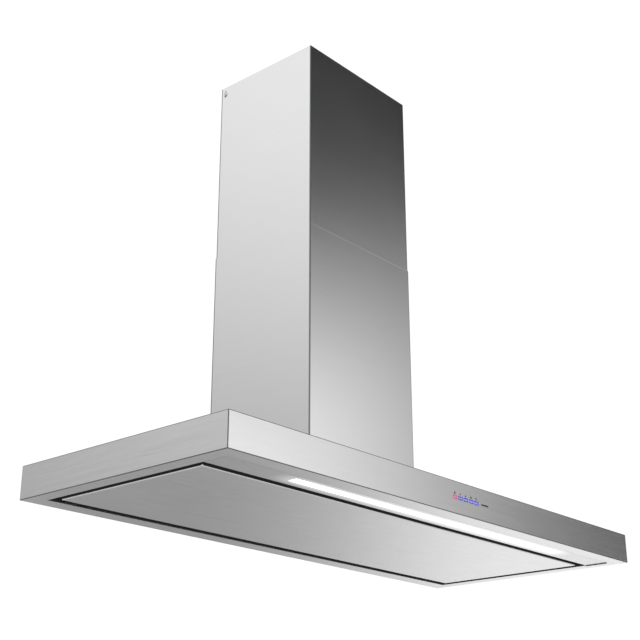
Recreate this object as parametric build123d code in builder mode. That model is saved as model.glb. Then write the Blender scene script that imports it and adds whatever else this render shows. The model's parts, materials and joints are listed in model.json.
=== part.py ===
from build123d import *
import os
from math import acos, cos, degrees, radians, sin, sqrt

# Wall-mounted canopy range hood, in millimetres.
# Origin: centre of the canopy's underside. +X is to the right seen from the front, +Y is towards the wall, +Z is up.

# ---------------------------------------------------------------- overall sizes
canopy_width = 1200.0
canopy_depth = 500.0
canopy_height = 60.0
chimney_top = 1017.0  # top edge of the upper cover
split_height = 600.0  # top edge of the lower cover
cover_width = 320.0  # upper cover, outside
cover_depth = 267.0  # upper cover's front face to the wall

# ---------------------------------------------------------------- sheets and clearances
canopy_sheet = 1.2
cover_sheet = 0.8
inner_sheet = 1.0
seam = 0.4  # between panels that lie side by side
slide_gap = 0.3  # between pieces that slide past each other
running_gap = 0.05  # radial, shaft in hole
screw_gap = 0.15  # radial, screw in hole

# ---------------------------------------------------------------- underside layout
front_rim = 33.0
rear_rim = 37.0
side_rim = 30.0
rim_return = 10.0  # upturned edge of the rim
light_panel_depth = 50.0
front_slot = 17.0  # intake slot between light panel and suction panel
rear_slot = 18.0
side_slot = 15.0
panel_height = 12.0  # suction panel, over its upturned edges
panel_edge_radius = 2.5
deck_height = 25.0  # underside of the filter deck

# ---------------------------------------------------------------- covers and bracket
cover_flange = 12.0
cover_bend = 1.6
upper_overlap = 123.0  # length of the upper cover inside the lower one
bracket_sheet = 1.5
bracket_height = 36.0
bracket_step = 24.0
bracket_screw_drop = 17.0  # cover screw below the cover's top edge
bracket_screw_inset = 10.0  # cover screw in front of the wall
wall_hole_radius = 4.0
bracket_hole_spacing = 200.0

# ---------------------------------------------------------------- lights
led_length = 800.0
led_width = 18.0
led_front_margin = 13.0  # light panel's front edge to the light strip
led_flange = 2.0
led_channel_height = 14.0

# ---------------------------------------------------------------- buttons
button_count = 5
button_pitch = 16.75
button_row_x = 2.3
button_row_z = 30.0
button_width = 10.4
button_height = 3.6
button_travel = 1.2
ring_width = 1.2
button_gap = 0.2
window_width = 22.0
window_height = 2.6
window_spacing = 27.2  # last button to the receiver window

# ---------------------------------------------------------------- filters
filter_width = 320.0
filter_depth = 262.0
filter_thickness = 9.0
filter_bar = 10.0
filter_mesh_thickness = 6.0
filter_mesh_lap = 3.0
filter_spacing = 332.0
filter_front = -100.0

# ---------------------------------------------------------------- suction panel hinge and catches
hinge_x = 510.0
hinge_height = 8.0
hinge_pin_radius = 2.0
hinge_eye_radius = 4.5
hinge_arm_thickness = 3.0
hinge_ear_gap = 2.0
catch_x = 430.0

# ---------------------------------------------------------------- blower
box_width = 250.0
box_depth = 236.0
box_height = 270.0
box_wall_gap = 12.0  # blower box to the wall
box_flange = 14.0
impeller_radius = 75.0
impeller_width = 100.0
impeller_bore_radius = 62.0
blade_count = 30
blade_thickness = 1.0
scroll_sheet = 1.5
scroll_side_gap = 5.0
scroll_min_radius = 82.0
scroll_max_radius = 110.0
scroll_cut_angle = 65.0
motor_radius = 44.0
motor_length = 88.0
shaft_radius = 4.0
bearing_radius = 11.0
bearing_width = 7.0
outlet_rise = 40.0
duct_radius = 74.5  # outside of the duct collar
duct_wall = 2.0
collar_height = 50.0
flap_gap = 1.5
flap_offset = 2.6
flap_pin_radius = 2.0
flap_thickness = 1.2

# ---------------------------------------------------------------- planes worked out from the sizes
wall_y = canopy_depth / 2
front_y = -canopy_depth / 2
side_x = canopy_width / 2
opening_front = front_y + front_rim
opening_rear = wall_y - rear_rim
opening_side = side_x - side_rim
light_panel_rear = opening_front + light_panel_depth
panel_front = light_panel_rear + front_slot
panel_rear = opening_rear - rear_slot
panel_side = opening_side - side_slot
panel_mid_y = (panel_front + panel_rear) / 2
panel_depth = panel_rear - panel_front
canopy_inner_top = canopy_height - canopy_sheet

cover_front = wall_y - cover_depth
lower_grow = slide_gap + cover_sheet
lower_width = cover_width + 2 * lower_grow
lower_front = cover_front - lower_grow
upper_back = wall_y - lower_grow

box_rear = wall_y - box_wall_gap
box_front = box_rear - box_depth
box_top = canopy_height + box_height
box_mid_y = (box_front + box_rear) / 2
chimney_hole_width = box_width - 16.0
chimney_hole_depth = box_depth - 8.0

TOP_DOWN = (Align.CENTER, Align.CENTER, Align.MAX)
BOTTOM_UP = (Align.CENTER, Align.CENTER, Align.MIN)


def save(part, name):
    part.label = name
    export_step(part, f"parts/{name}.step")


def block(x_range, y_range, z_range, mode=Mode.ADD):
    """A box between the given limits, added to the part being built."""
    size = [high - low for low, high in (x_range, y_range, z_range)]
    middle = [(high + low) / 2 for low, high in (x_range, y_range, z_range)]
    with Locations(tuple(middle)):
        Box(*size, mode=mode)


def bent_strip(plane, points, thickness, width):
    """A strip of sheet bent along the points, thickened to their left and extruded both ways from the plane."""
    with BuildPart() as strip:
        with BuildSketch(plane):
            with BuildLine():
                Polyline(*points)
                offset(amount=thickness, side=Side.LEFT, kind=Kind.INTERSECTION)
            make_face()
        extrude(amount=width / 2, both=True)
    return strip.part


def pan_screw(head_radius, shank_radius, shank_length):
    """A cross-recessed screw. Its head stands on the XY plane and its shank points down."""
    head_height = head_radius * 0.6
    with BuildPart() as screw:
        Cylinder(head_radius, head_height, align=BOTTOM_UP)
        fillet(screw.edges().group_by(Axis.Z)[-1], head_height * 0.45)
        with Locations((0, 0, head_height)):
            Box(head_radius, head_radius * 0.25, head_height * 0.8, mode=Mode.SUBTRACT)
            Box(head_radius * 0.25, head_radius, head_height * 0.8, mode=Mode.SUBTRACT)
        Cylinder(shank_radius, shank_length, align=TOP_DOWN)
    return screw.part


# ================================================================ canopy
wall_hole_x = canopy_width / 2 - 150.0
lead_hole_x = box_width / 2 + 23.0
lead_hole_y = box_mid_y
lead_hole_radius = 5.0
lead_radius = 2.5
lead_x = 64.0
lead_route_z = canopy_inner_top - lead_radius - 4.0
flange_screw_radius = 2.0
flange_screw_side_x = box_width / 2 + box_flange / 2
flange_screw_front_y = box_front - box_flange / 2
flange_screws = [
    (sign * flange_screw_side_x, box_mid_y + offset_y)
    for sign in (-1, 1)
    for offset_y in (-box_depth / 3, box_depth / 3)
] + [(sign * box_width / 4, flange_screw_front_y) for sign in (-1, 1)]

control_opening_x = [
    button_row_x + (index - (button_count - 1) / 2) * button_pitch for index in range(button_count)
]
window_x = control_opening_x[-1] + window_spacing
housing_left = control_opening_x[0] - 18.8
housing_right = window_x + 29.0
board_end_gap = 3.0  # housing's end to the board
post_inset = 7.0  # housing's end to the post that holds the board
board_posts_x = (housing_left + post_inset, housing_right - post_inset)
ring_outer_width = button_width + 2 * (button_gap + ring_width)
ring_outer_height = button_height + 2 * (button_gap + ring_width)


def make_canopy_shell():
    """Skirt of the canopy: its four walls and the rim round the underside's opening."""
    with BuildPart() as shell:
        Box(canopy_width, canopy_depth, canopy_inner_top, align=BOTTOM_UP)
        fillet(shell.edges().filter_by(Axis.Z), canopy_sheet)
        fillet(shell.faces().sort_by(Axis.Z)[0].edges(), canopy_sheet * 0.8)
        inner_x = side_x - canopy_sheet
        inner_y = wall_y - canopy_sheet
        block((-inner_x, inner_x), (-inner_y, inner_y), (canopy_sheet, canopy_inner_top), Mode.SUBTRACT)
        # upturned return round the underside's opening
        block(
            (-opening_side - canopy_sheet, opening_side + canopy_sheet),
            (opening_front - canopy_sheet, opening_rear + canopy_sheet),
            (0, rim_return),
        )
        block((-opening_side, opening_side), (opening_front, opening_rear), (0, rim_return), Mode.SUBTRACT)
        # fixing holes in the rear wall
        with BuildSketch(Plane.XZ.offset(-wall_y)):
            with Locations((-wall_hole_x, canopy_height * 0.6), (wall_hole_x, canopy_height * 0.6)):
                Circle(wall_hole_radius)
        extrude(amount=canopy_sheet * 3, both=True, mode=Mode.SUBTRACT)
        # openings for the lit rings and the receiver window in the front face
        with BuildSketch(Plane.XZ.offset(-front_y)):
            with Locations(*[(x, button_row_z) for x in control_opening_x]):
                Rectangle(ring_outer_width + 2 * button_gap, ring_outer_height + 2 * button_gap)
            with Locations((window_x, button_row_z)):
                Rectangle(window_width + 2 * button_gap, window_height + 2 * button_gap)
        extrude(amount=canopy_sheet * 3, both=True, mode=Mode.SUBTRACT)
    return shell.part


def make_canopy_top():
    """Top sheet welded on the skirt, with the opening under the blower box."""
    with BuildPart() as top:
        with Locations((0, 0, canopy_inner_top)):
            Box(canopy_width, canopy_depth, canopy_sheet, align=BOTTOM_UP)
        fillet(top.edges().filter_by(Axis.Z), canopy_sheet)
        fillet(top.faces().sort_by(Axis.Z)[-1].edges(), canopy_sheet * 0.8)
        with Locations((0, box_mid_y, canopy_height)):
            Box(chimney_hole_width, chimney_hole_depth, canopy_sheet * 4, mode=Mode.SUBTRACT)
        with Locations(*[(x, y, canopy_height) for x, y in flange_screws]):
            Cylinder(flange_screw_radius + screw_gap, canopy_sheet * 4, mode=Mode.SUBTRACT)
        with Locations((lead_hole_x, lead_hole_y, canopy_height)):
            Cylinder(lead_hole_radius, canopy_sheet * 4, mode=Mode.SUBTRACT)
    return top.part


# ================================================================ light panel and lamp
led_y = opening_front + led_front_margin + led_width / 2
channel_width = led_width + 2 * led_flange


def make_light_panel():
    with BuildPart() as panel:
        x_range = (-opening_side + seam, opening_side - seam)
        y_range = (opening_front + seam, light_panel_rear)
        block(x_range, y_range, (0, rim_return))
        fillet(panel.edges().filter_by(Axis.X).group_by(Axis.Z)[0].sort_by(Axis.Y)[-1], canopy_sheet)
        block(
            (x_range[0] - 1, x_range[1] + 1),
            (y_range[0] + canopy_sheet, y_range[1] - canopy_sheet),
            (canopy_sheet, rim_return),
            Mode.SUBTRACT,
        )
        with Locations((0, led_y, 0)):
            Box(led_length, led_width, canopy_sheet * 4, mode=Mode.SUBTRACT)
    return panel.part


def make_led_channel():
    """Aluminium U-profile that stands on the light panel over its slot."""
    low = canopy_sheet
    with BuildPart() as channel:
        with BuildSketch(Plane.YZ):
            with Locations((led_y, low)):
                Rectangle(channel_width, led_channel_height, align=(Align.CENTER, Align.MIN))
                Rectangle(
                    led_width, led_channel_height - led_flange, align=(Align.CENTER, Align.MIN), mode=Mode.SUBTRACT
                )
        extrude(amount=led_length / 2 + led_flange, both=True)
    return channel.part


def make_led_diffuser():
    """Milky strip flush with the light panel, slightly crowned inside."""
    with BuildPart() as diffuser:
        block(
            (-led_length / 2 + seam / 2, led_length / 2 - seam / 2),
            (led_y - led_width / 2 + seam / 2, led_y + led_width / 2 - seam / 2),
            (0, 3.0),
        )
        fillet(diffuser.edges().filter_by(Axis.X).group_by(Axis.Z)[-1], 1.0)
    return diffuser.part


def make_led_board():
    """Circuit strip under the channel's roof, with its row of light chips."""
    roof = canopy_sheet + led_channel_height - led_flange
    chip_count = 40
    with BuildPart() as board:
        block((-led_length / 2, led_length / 2), (led_y - 6, led_y + 6), (roof - 1.0, roof))
        with Locations((0, led_y, roof - 1.0)):
            with GridLocations(led_length / chip_count, 1, chip_count, 1):
                Box(3.5, 2.8, 0.8, align=TOP_DOWN)
    return board.part


driver_length = 120.0
driver_x = (led_length / 2 + led_flange + opening_side) / 2


def make_led_driver():
    with BuildPart() as driver:
        low = canopy_sheet
        block((driver_x - driver_length / 2, driver_x + driver_length / 2), (led_y - 14, led_y + 14), (low, low + 22))
        fillet(driver.edges().filter_by(Axis.Z), 3.0)
        fillet(driver.faces().sort_by(Axis.Z)[-1].edges(), 1.0)
        with Locations((driver_x, led_y, low)):
            with GridLocations(driver_length + 12, 12, 2, 2):
                Box(14, 6, 2, align=BOTTOM_UP)
    return driver.part


# ================================================================ filter deck, rails and filters
deck_front = light_panel_rear + 6.0
deck_rear = wall_y - canopy_sheet - 4.0
deck_side = side_x - canopy_sheet - 2.0
deck_hole_depth = filter_depth - 2 * filter_bar
filter_rear = filter_front + filter_depth
filter_mid_y = (filter_front + filter_rear) / 2
filter_top = deck_height - 0.2
filter_bottom = filter_top - filter_thickness
filter_x = [-filter_spacing / 2, filter_spacing / 2]
latch_bar = 26.0  # depth of the frame where the latch sits
latch_width = 12.0
latch_thickness = 3.6
latch_engage = 5.0
latch_z = filter_bottom + 4.2


def make_filter_deck():
    """Flat sheet across the canopy that carries the filters."""
    with BuildPart() as deck:
        block((-deck_side, deck_side), (deck_front, deck_rear), (deck_height, deck_height + inner_sheet))
        with Locations(*[(x, filter_mid_y, deck_height) for x in filter_x]):
            Box(filter_width - 2 * filter_bar, deck_hole_depth, inner_sheet * 4, mode=Mode.SUBTRACT)
    return deck.part


def make_plenum_walls():
    """Sheet walls that stand on the deck's edges and close it up to the canopy's top."""
    with BuildPart() as walls:
        z_range = (deck_height + inner_sheet, canopy_inner_top)
        block((-deck_side, deck_side), (deck_front, deck_rear), z_range)
        block(
            (-deck_side + inner_sheet, deck_side - inner_sheet),
            (deck_front + inner_sheet, deck_rear - inner_sheet),
            z_range,
            Mode.SUBTRACT,
        )
        with BuildSketch(Plane.XZ.offset(-deck_rear)):
            with Locations((-wall_hole_x, canopy_height * 0.6), (wall_hole_x, canopy_height * 0.6)):
                Circle(wall_hole_radius + 4.0)
        extrude(amount=inner_sheet * 3, both=True, mode=Mode.SUBTRACT)
        with Locations(Location((lead_x, deck_front, lead_route_z), (90, 0, 0))):
            Cylinder(lead_radius + 0.5, inner_sheet * 4, mode=Mode.SUBTRACT)
    return walls.part


rail_length = 2 * filter_spacing
rail_drop = filter_thickness + 1.8
rear_rail_y = filter_rear + 1.0
front_rail_y = filter_front - 2.0


def make_filter_rails():
    """Front rail with the latch holes, and rear rail whose shelf carries the filters' rear edges."""
    rear = bent_strip(
        Plane.YZ,
        [
            (rear_rail_y + 10, deck_height - inner_sheet),
            (rear_rail_y, deck_height - inner_sheet),
            (rear_rail_y, deck_height - rail_drop),
            (rear_rail_y - 8, deck_height - rail_drop),
        ],
        inner_sheet,
        rail_length,
    )
    with BuildPart() as rails:
        add(rear)
        block(
            (-rail_length / 2, rail_length / 2),
            (front_rail_y - inner_sheet, front_rail_y),
            (deck_height - rail_drop, deck_height),
        )
        block(
            (-rail_length / 2, rail_length / 2),
            (front_rail_y - 10, front_rail_y),
            (deck_height - inner_sheet, deck_height),
        )
        with Locations(*[(x, front_rail_y, latch_z) for x in filter_x]):
            Box(latch_width + 1, inner_sheet * 4, latch_thickness + 1, mode=Mode.SUBTRACT)
    return rails.part


def make_filter_frame(x):
    """Folded aluminium frame with a groove for the mesh and a pocket for the latch in its front bar."""
    half_width = filter_width / 2
    mesh_low = filter_top - filter_thickness / 2 - filter_mesh_thickness / 2
    with BuildPart() as frame:
        block((x - half_width, x + half_width), (filter_front, filter_rear), (filter_bottom, filter_top))
        fillet(frame.edges().filter_by(Axis.Z), 3.0)
        block(
            (x - half_width + filter_bar, x + half_width - filter_bar),
            (filter_front + filter_bar, filter_rear - filter_bar),
            (filter_bottom, filter_top),
            Mode.SUBTRACT,
        )
        block(
            (x - half_width + filter_bar - filter_mesh_lap, x + half_width - filter_bar + filter_mesh_lap),
            (filter_front + filter_bar - filter_mesh_lap, filter_rear - filter_bar + filter_mesh_lap),
            (mesh_low, mesh_low + filter_mesh_thickness),
            Mode.SUBTRACT,
        )
        # solid block round the latch
        block((x - 24, x + 24), (filter_front, filter_front + latch_bar), (filter_bottom, filter_top))
        block(
            (x - 12, x + 12),
            (filter_front + 8, filter_front + latch_bar - 2),
            (filter_bottom, latch_z + latch_thickness / 2 + slide_gap),
            Mode.SUBTRACT,
        )
        block(
            (x - latch_width / 2 - slide_gap, x + latch_width / 2 + slide_gap),
            (filter_front, filter_front + 8),
            (latch_z - latch_thickness / 2 - slide_gap, latch_z + latch_thickness / 2 + slide_gap),
            Mode.SUBTRACT,
        )
    return frame.part


def make_filter_mesh(x):
    """Pack of expanded mesh layers, pleated along the width."""
    half_width = filter_width / 2 - filter_bar + filter_mesh_lap
    low = filter_top - filter_thickness / 2 - filter_mesh_thickness / 2
    pleats = 24
    with BuildPart() as mesh:
        block(
            (x - half_width, x + half_width),
            (filter_front + filter_bar - filter_mesh_lap, filter_rear - filter_bar + filter_mesh_lap),
            (low, low + filter_mesh_thickness),
        )
        block((x - 24, x + 24), (filter_front, filter_front + latch_bar), (low - 1, filter_top), Mode.SUBTRACT)
        pitch = 2 * (half_width - 2 * filter_mesh_lap) / pleats
        for index in range(pleats):
            center_x = x - half_width + 2 * filter_mesh_lap + (index + 0.5) * pitch
            with BuildSketch(Plane.XZ.offset(-(filter_front + latch_bar + 4))):
                with Locations((center_x, low)):
                    Triangle(a=pitch * 0.7, b=pitch * 0.55, c=pitch * 0.55, align=(Align.CENTER, Align.MIN))
            extrude(amount=-(filter_depth - latch_bar - filter_bar - 8), mode=Mode.SUBTRACT)
    return mesh.part


def make_filter_latch(x):
    """Spring plunger that engages the front rail, with the finger tab that pulls it back."""
    with BuildPart() as latch:
        block(
            (x - latch_width / 2, x + latch_width / 2),
            (filter_front - latch_engage, filter_front + 12),
            (latch_z - latch_thickness / 2, latch_z + latch_thickness / 2),
        )
        fillet(latch.edges().filter_by(Axis.X).group_by(Axis.Y)[0], 1.2)
        block(
            (x - 10, x + 10),
            (filter_front + 9, filter_front + 13),
            (filter_bottom - 1.0, latch_z + latch_thickness / 2),
        )
    return latch.part


# ================================================================ suction panel
rib_length = 0.82 * panel_depth
hinge_y = (panel_rear + opening_rear) / 2


def make_suction_panel():
    """Shallow tray with rounded lower edges and open notches for the hinge arms in its rear wall."""
    with BuildPart() as panel:
        block((-panel_side, panel_side), (panel_front, panel_rear), (0, panel_height))
        fillet(panel.edges().filter_by(Axis.Z), panel_edge_radius)
        fillet(panel.faces().sort_by(Axis.Z)[0].edges(), panel_edge_radius)
        block(
            (-panel_side + canopy_sheet, panel_side - canopy_sheet),
            (panel_front + canopy_sheet, panel_rear - canopy_sheet),
            (canopy_sheet, panel_height),
            Mode.SUBTRACT,
        )
        with Locations(*[(sign * hinge_x, panel_rear, panel_height) for sign in (-1, 1)]):
            Box(
                hinge_arm_thickness + 3,
                canopy_sheet * 6,
                2 * (panel_height - panel_edge_radius - 0.5),
                mode=Mode.SUBTRACT,
            )
    return panel.part


def make_panel_stiffeners():
    """Hat-shaped ribs spot-welded across the panel's back."""
    with BuildPart() as ribs:
        for x in (-0.62 * panel_side, -0.22 * panel_side, 0.22 * panel_side, 0.62 * panel_side):
            rib = bent_strip(
                Plane.XZ.offset(-panel_mid_y),
                [
                    (x - 22, canopy_sheet),
                    (x - 11, canopy_sheet),
                    (x - 9, canopy_sheet + 6),
                    (x + 9, canopy_sheet + 6),
                    (x + 11, canopy_sheet),
                    (x + 22, canopy_sheet),
                ],
                inner_sheet,
                rib_length,
            )
            add(rib)
    return ribs.part


def make_panel_hinge_arms():
    """Arms on the panel's back whose eyes hang on the hinge pins."""
    arm_front = panel_rear - 40
    with BuildPart() as arms:
        for sign in (-1, 1):
            with BuildSketch(Plane.YZ.offset(sign * hinge_x)):
                with BuildLine():
                    Polyline(
                        (arm_front, canopy_sheet),
                        (panel_rear - 3, canopy_sheet),
                        (panel_rear - 3, hinge_height - 3),
                        (hinge_y, hinge_height - 3),
                        (hinge_y, hinge_height + 3),
                        (panel_rear - 14, hinge_height + 3),
                        (arm_front, canopy_sheet + 3),
                        close=True,
                    )
                make_face()
                with Locations((hinge_y, hinge_height)):
                    Circle(hinge_eye_radius)
                    Circle(hinge_pin_radius + running_gap, mode=Mode.SUBTRACT)
            extrude(amount=hinge_arm_thickness / 2, both=True)
            block(
                (sign * hinge_x - 9, sign * hinge_x + 9),
                (arm_front, arm_front + 28),
                (canopy_sheet, canopy_sheet + 1.5),
            )
    return arms.part


strike_mid_y = panel_front + 20.0
strike_top = panel_height + 1.7


def make_strike_plates():
    with BuildPart() as strikes:
        for sign in (-1, 1):
            plate = bent_strip(
                Plane.XZ.offset(-strike_mid_y),
                [
                    (sign * catch_x - 34, canopy_sheet),
                    (sign * catch_x - 22, canopy_sheet),
                    (sign * catch_x - 22, strike_top - 1.2),
                    (sign * catch_x + 22, strike_top - 1.2),
                    (sign * catch_x + 22, canopy_sheet),
                    (sign * catch_x + 34, canopy_sheet),
                ],
                1.2,
                16,
            )
            add(plate)
    return strikes.part


def make_magnet_catches():
    with BuildPart() as catches:
        for sign in (-1, 1):
            block(
                (sign * catch_x - 20, sign * catch_x + 20),
                (strike_mid_y - 7, strike_mid_y + 7),
                (strike_top + slide_gap, deck_height),
            )
        fillet(catches.edges().filter_by(Axis.Z), 2.0)
    return catches.part


ear_thickness = 1.5
ear_radius = 5.0


def make_hinge_brackets():
    """Clevis under the filter deck at each hinge, and the loose pin in it."""
    ear_low = hinge_height - ear_radius
    inner_x = hinge_arm_thickness / 2 + hinge_ear_gap
    outer_x = inner_x + ear_thickness
    with BuildPart() as brackets:
        for sign in (-1, 1):
            x = sign * hinge_x
            with BuildSketch(Plane.YZ.offset(x)):
                with Locations((hinge_y, hinge_height)):
                    Circle(ear_radius)
                with Locations((hinge_y, hinge_height)):
                    Rectangle(2 * ear_radius, deck_height - hinge_height, align=(Align.CENTER, Align.MIN))
            extrude(amount=outer_x, both=True)
            block(
                (x - inner_x, x + inner_x),
                (hinge_y - 20, hinge_y + 20),
                (ear_low - 1, deck_height - ear_thickness),
                Mode.SUBTRACT,
            )
            block((x - 16, x + 16), (hinge_y - 7, hinge_y + 7), (deck_height - ear_thickness, deck_height))
            with Locations(Location((x, hinge_y, hinge_height), (0, 90, 0))):
                Cylinder(hinge_pin_radius + running_gap, 4 * outer_x, mode=Mode.SUBTRACT)
        length = 2 * outer_x + 1.0
        pin_head = 1.2
        for sign in (-1, 1):
            with Locations(Location((sign * hinge_x, hinge_y, hinge_height), (0, 90, 0))):
                Cylinder(hinge_pin_radius, length)
            with Locations((sign * (hinge_x + (length + pin_head) / 2), hinge_y, hinge_height)):
                Box(pin_head, 7, 7)
    return brackets.part


# ================================================================ controls
control_front = front_y + canopy_sheet
board_y = front_y + 13.0
board_thickness = 1.6
connector_y = board_y + board_thickness + lead_radius + 0.5
connector_half_height = 6.0
switch_depth = 3.5
plunger_length = 0.6
cap_rear = board_y - switch_depth - plunger_length - button_travel - 0.2
housing_low = button_row_z - 12.0
housing_high = button_row_z + 13.0


def make_control_housing():
    """Plastic tray behind the front face, open at the rear, with openings for the rings and the window."""
    with BuildPart() as housing:
        block((housing_left, housing_right), (control_front, control_front + 22), (housing_low, housing_high))
        fillet(housing.edges().filter_by(Axis.Y), 2.0)
        block(
            (housing_left + 1.8, housing_right - 1.8),
            (control_front + 1.8, control_front + 24),
            (housing_low + 1.8, housing_high - 1.8),
            Mode.SUBTRACT,
        )
        with BuildSketch(Plane.XZ.offset(-control_front)):
            with Locations(*[(x, button_row_z) for x in control_opening_x]):
                Rectangle(ring_outer_width, ring_outer_height)
            with Locations((window_x, button_row_z)):
                Rectangle(window_width, window_height)
        extrude(amount=5, both=True, mode=Mode.SUBTRACT)
        with Locations((lead_x, connector_y, housing_high)):
            Cylinder(lead_radius + 0.3, 5, mode=Mode.SUBTRACT)
        # posts for the board
        for x in board_posts_x:
            with Locations(Location((x, control_front + 1, button_row_z), (-90, 0, 0))):
                Cylinder(3.5, board_y - control_front - 1, align=BOTTOM_UP)
                Cylinder(1.2, board_y - control_front - 1, align=BOTTOM_UP, mode=Mode.SUBTRACT)
    return housing.part


def make_control_board():
    """Board with the lead's connector, the controller chip and one switch behind each button."""
    with BuildPart() as board:
        block(
            (housing_left + board_end_gap, housing_right - board_end_gap),
            (board_y, board_y + board_thickness),
            (housing_low + 3, housing_high - 3),
        )
        for x in board_posts_x:
            with Locations(Location((x, board_y, button_row_z), (-90, 0, 0))):
                Cylinder(1.4, 10, mode=Mode.SUBTRACT)
        block(
            (lead_x - 10, lead_x + 10),
            (board_y + board_thickness, connector_y + lead_radius),
            (button_row_z - connector_half_height, button_row_z + connector_half_height),
        )
        block(
            (control_opening_x[0], control_opening_x[1]),
            (board_y + board_thickness, board_y + board_thickness + 1.8),
            (button_row_z - 5, button_row_z + 5),
        )
        for x in control_opening_x:
            block((x - 3, x + 3), (board_y - switch_depth, board_y), (button_row_z - 3, button_row_z + 3))
            with Locations(Location((x, board_y - switch_depth, button_row_z), (90, 0, 0))):
                Cylinder(1.5, plunger_length, align=BOTTOM_UP)
    return board.part


def make_button(x):
    """Push-button cap with its stem and a dished face flush with the canopy's front."""
    with BuildPart() as button:
        block(
            (x - button_width / 2, x + button_width / 2),
            (front_y, front_y + 5.0),
            (button_row_z - button_height / 2, button_row_z + button_height / 2),
        )
        fillet(button.edges().filter_by(Axis.Y), 0.5)
        fillet(button.faces().sort_by(Axis.Y)[0].edges(), 0.25)
        block((x - 2, x + 2), (front_y + 5.0, cap_rear), (button_row_z - 1.4, button_row_z + 1.4))
    return button.part


def make_light_rings(positions):
    """Translucent frames round the button caps."""
    with BuildPart() as rings:
        with BuildSketch(Plane.XZ.offset(-front_y)):
            with Locations(*[(x, button_row_z) for x in positions]):
                RectangleRounded(ring_outer_width, ring_outer_height, 0.9)
                Rectangle(button_width + 2 * button_gap, button_height + 2 * button_gap, mode=Mode.SUBTRACT)
        extrude(amount=-4.5)
    return rings.part


def make_receiver_window():
    with BuildPart() as window:
        block(
            (window_x - window_width / 2 + 0.1, window_x + window_width / 2 - 0.1),
            (front_y, front_y + 4.0),
            (button_row_z - window_height / 2 + 0.1, button_row_z + window_height / 2 - 0.1),
        )
        fillet(window.edges().filter_by(Axis.Y), 0.8)
    return window.part


# ================================================================ blower box and scroll
axis_y = box_front + 1.0 + scroll_min_radius + 14.0  # impeller axis
axis_z = canopy_height + 125.0
scroll_half_width = impeller_width / 2 + scroll_side_gap + scroll_sheet
cut_y = axis_y + scroll_min_radius * cos(radians(scroll_cut_angle))
outlet_rear = axis_y + scroll_max_radius
outlet_mid_y = (cut_y + outlet_rear) / 2
outlet_depth = outlet_rear - cut_y
inlet_radius = impeller_bore_radius + 3.0
ring_throat_radius = impeller_bore_radius - 2.0
hook_x = 80.0
hook_width = 12.0
hook_sheet = 2.0
hook_z = canopy_height + 190.0


def make_blower_box():
    """Open-bottomed sheet box that carries the blower on the canopy and hangs on the wall hooks."""
    box_half = box_width / 2
    with BuildPart() as box:
        block((-box_half, box_half), (box_front, box_rear), (canopy_height, box_top))
        fillet(box.edges().filter_by(Axis.Z), 2.0)
        block(
            (-box_half - box_flange, box_half + box_flange),
            (box_front - box_flange, box_rear),
            (canopy_height, canopy_height + inner_sheet),
        )
        block(
            (-box_half + inner_sheet, box_half - inner_sheet),
            (box_front + inner_sheet, box_rear - inner_sheet),
            (canopy_height, box_top - inner_sheet),
            Mode.SUBTRACT,
        )
        with Locations(*[(x, y, canopy_height) for x, y in flange_screws]):
            Cylinder(flange_screw_radius + screw_gap, inner_sheet * 4, mode=Mode.SUBTRACT)
        # outlet opening in the roof, slots for the hooks in the rear wall
        with Locations((0, outlet_mid_y, box_top)):
            Box(2 * scroll_half_width, outlet_depth, inner_sheet * 4, mode=Mode.SUBTRACT)
        with Locations(*[(sign * hook_x, box_rear, hook_z - 6.0) for sign in (-1, 1)]):
            Box(hook_width + 8, inner_sheet * 4, 22.0, align=BOTTOM_UP, mode=Mode.SUBTRACT)
    return box.part


def make_wall_hooks():
    """Hook plates screwed to the wall, whose tongues reach through the blower box's rear slots."""
    with BuildPart() as hooks:
        for sign in (-1, 1):
            x = sign * hook_x
            block((x - 20, x + 20), (wall_y - hook_sheet, wall_y), (hook_z, hook_z + 64))
            block(
                (x - hook_width / 2, x + hook_width / 2),
                (box_rear - inner_sheet - 6, wall_y),
                (hook_z, hook_z + hook_sheet),
            )
            block(
                (x - hook_width / 2, x + hook_width / 2),
                (box_rear - inner_sheet - 6, box_rear - inner_sheet - 6 + hook_sheet),
                (hook_z, hook_z + 12),
            )
        with BuildSketch(Plane.XZ.offset(-wall_y)):
            with Locations(*[(sign * hook_x, hook_z + 40) for sign in (-1, 1)]):
                Circle(wall_hole_radius)
        extrude(amount=3 * hook_sheet, both=True, mode=Mode.SUBTRACT)
    return hooks.part


def scroll_outline(inset):
    """The volute's outline in the YZ plane with its upright outlet, set in from the outer skin by inset."""
    small = scroll_min_radius - inset
    large = scroll_max_radius - inset
    wall = cut_y + inset
    start = degrees(acos((wall - axis_y) / small))
    steps = 16
    points = []
    for index in range(steps + 1):
        angle = radians(start + (360.0 - start) * index / steps)
        radius = small + (large - small) * index / steps
        points.append((axis_y + radius * cos(angle), axis_z + radius * sin(angle)))
    with BuildSketch() as outline:
        with BuildLine():
            curve = Spline(*points)
            Polyline(
                curve @ 1,
                (outlet_rear - inset, box_top - inner_sheet),
                (wall, box_top - inner_sheet),
                curve @ 0,
            )
        make_face()
    return outline.sketch


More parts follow.
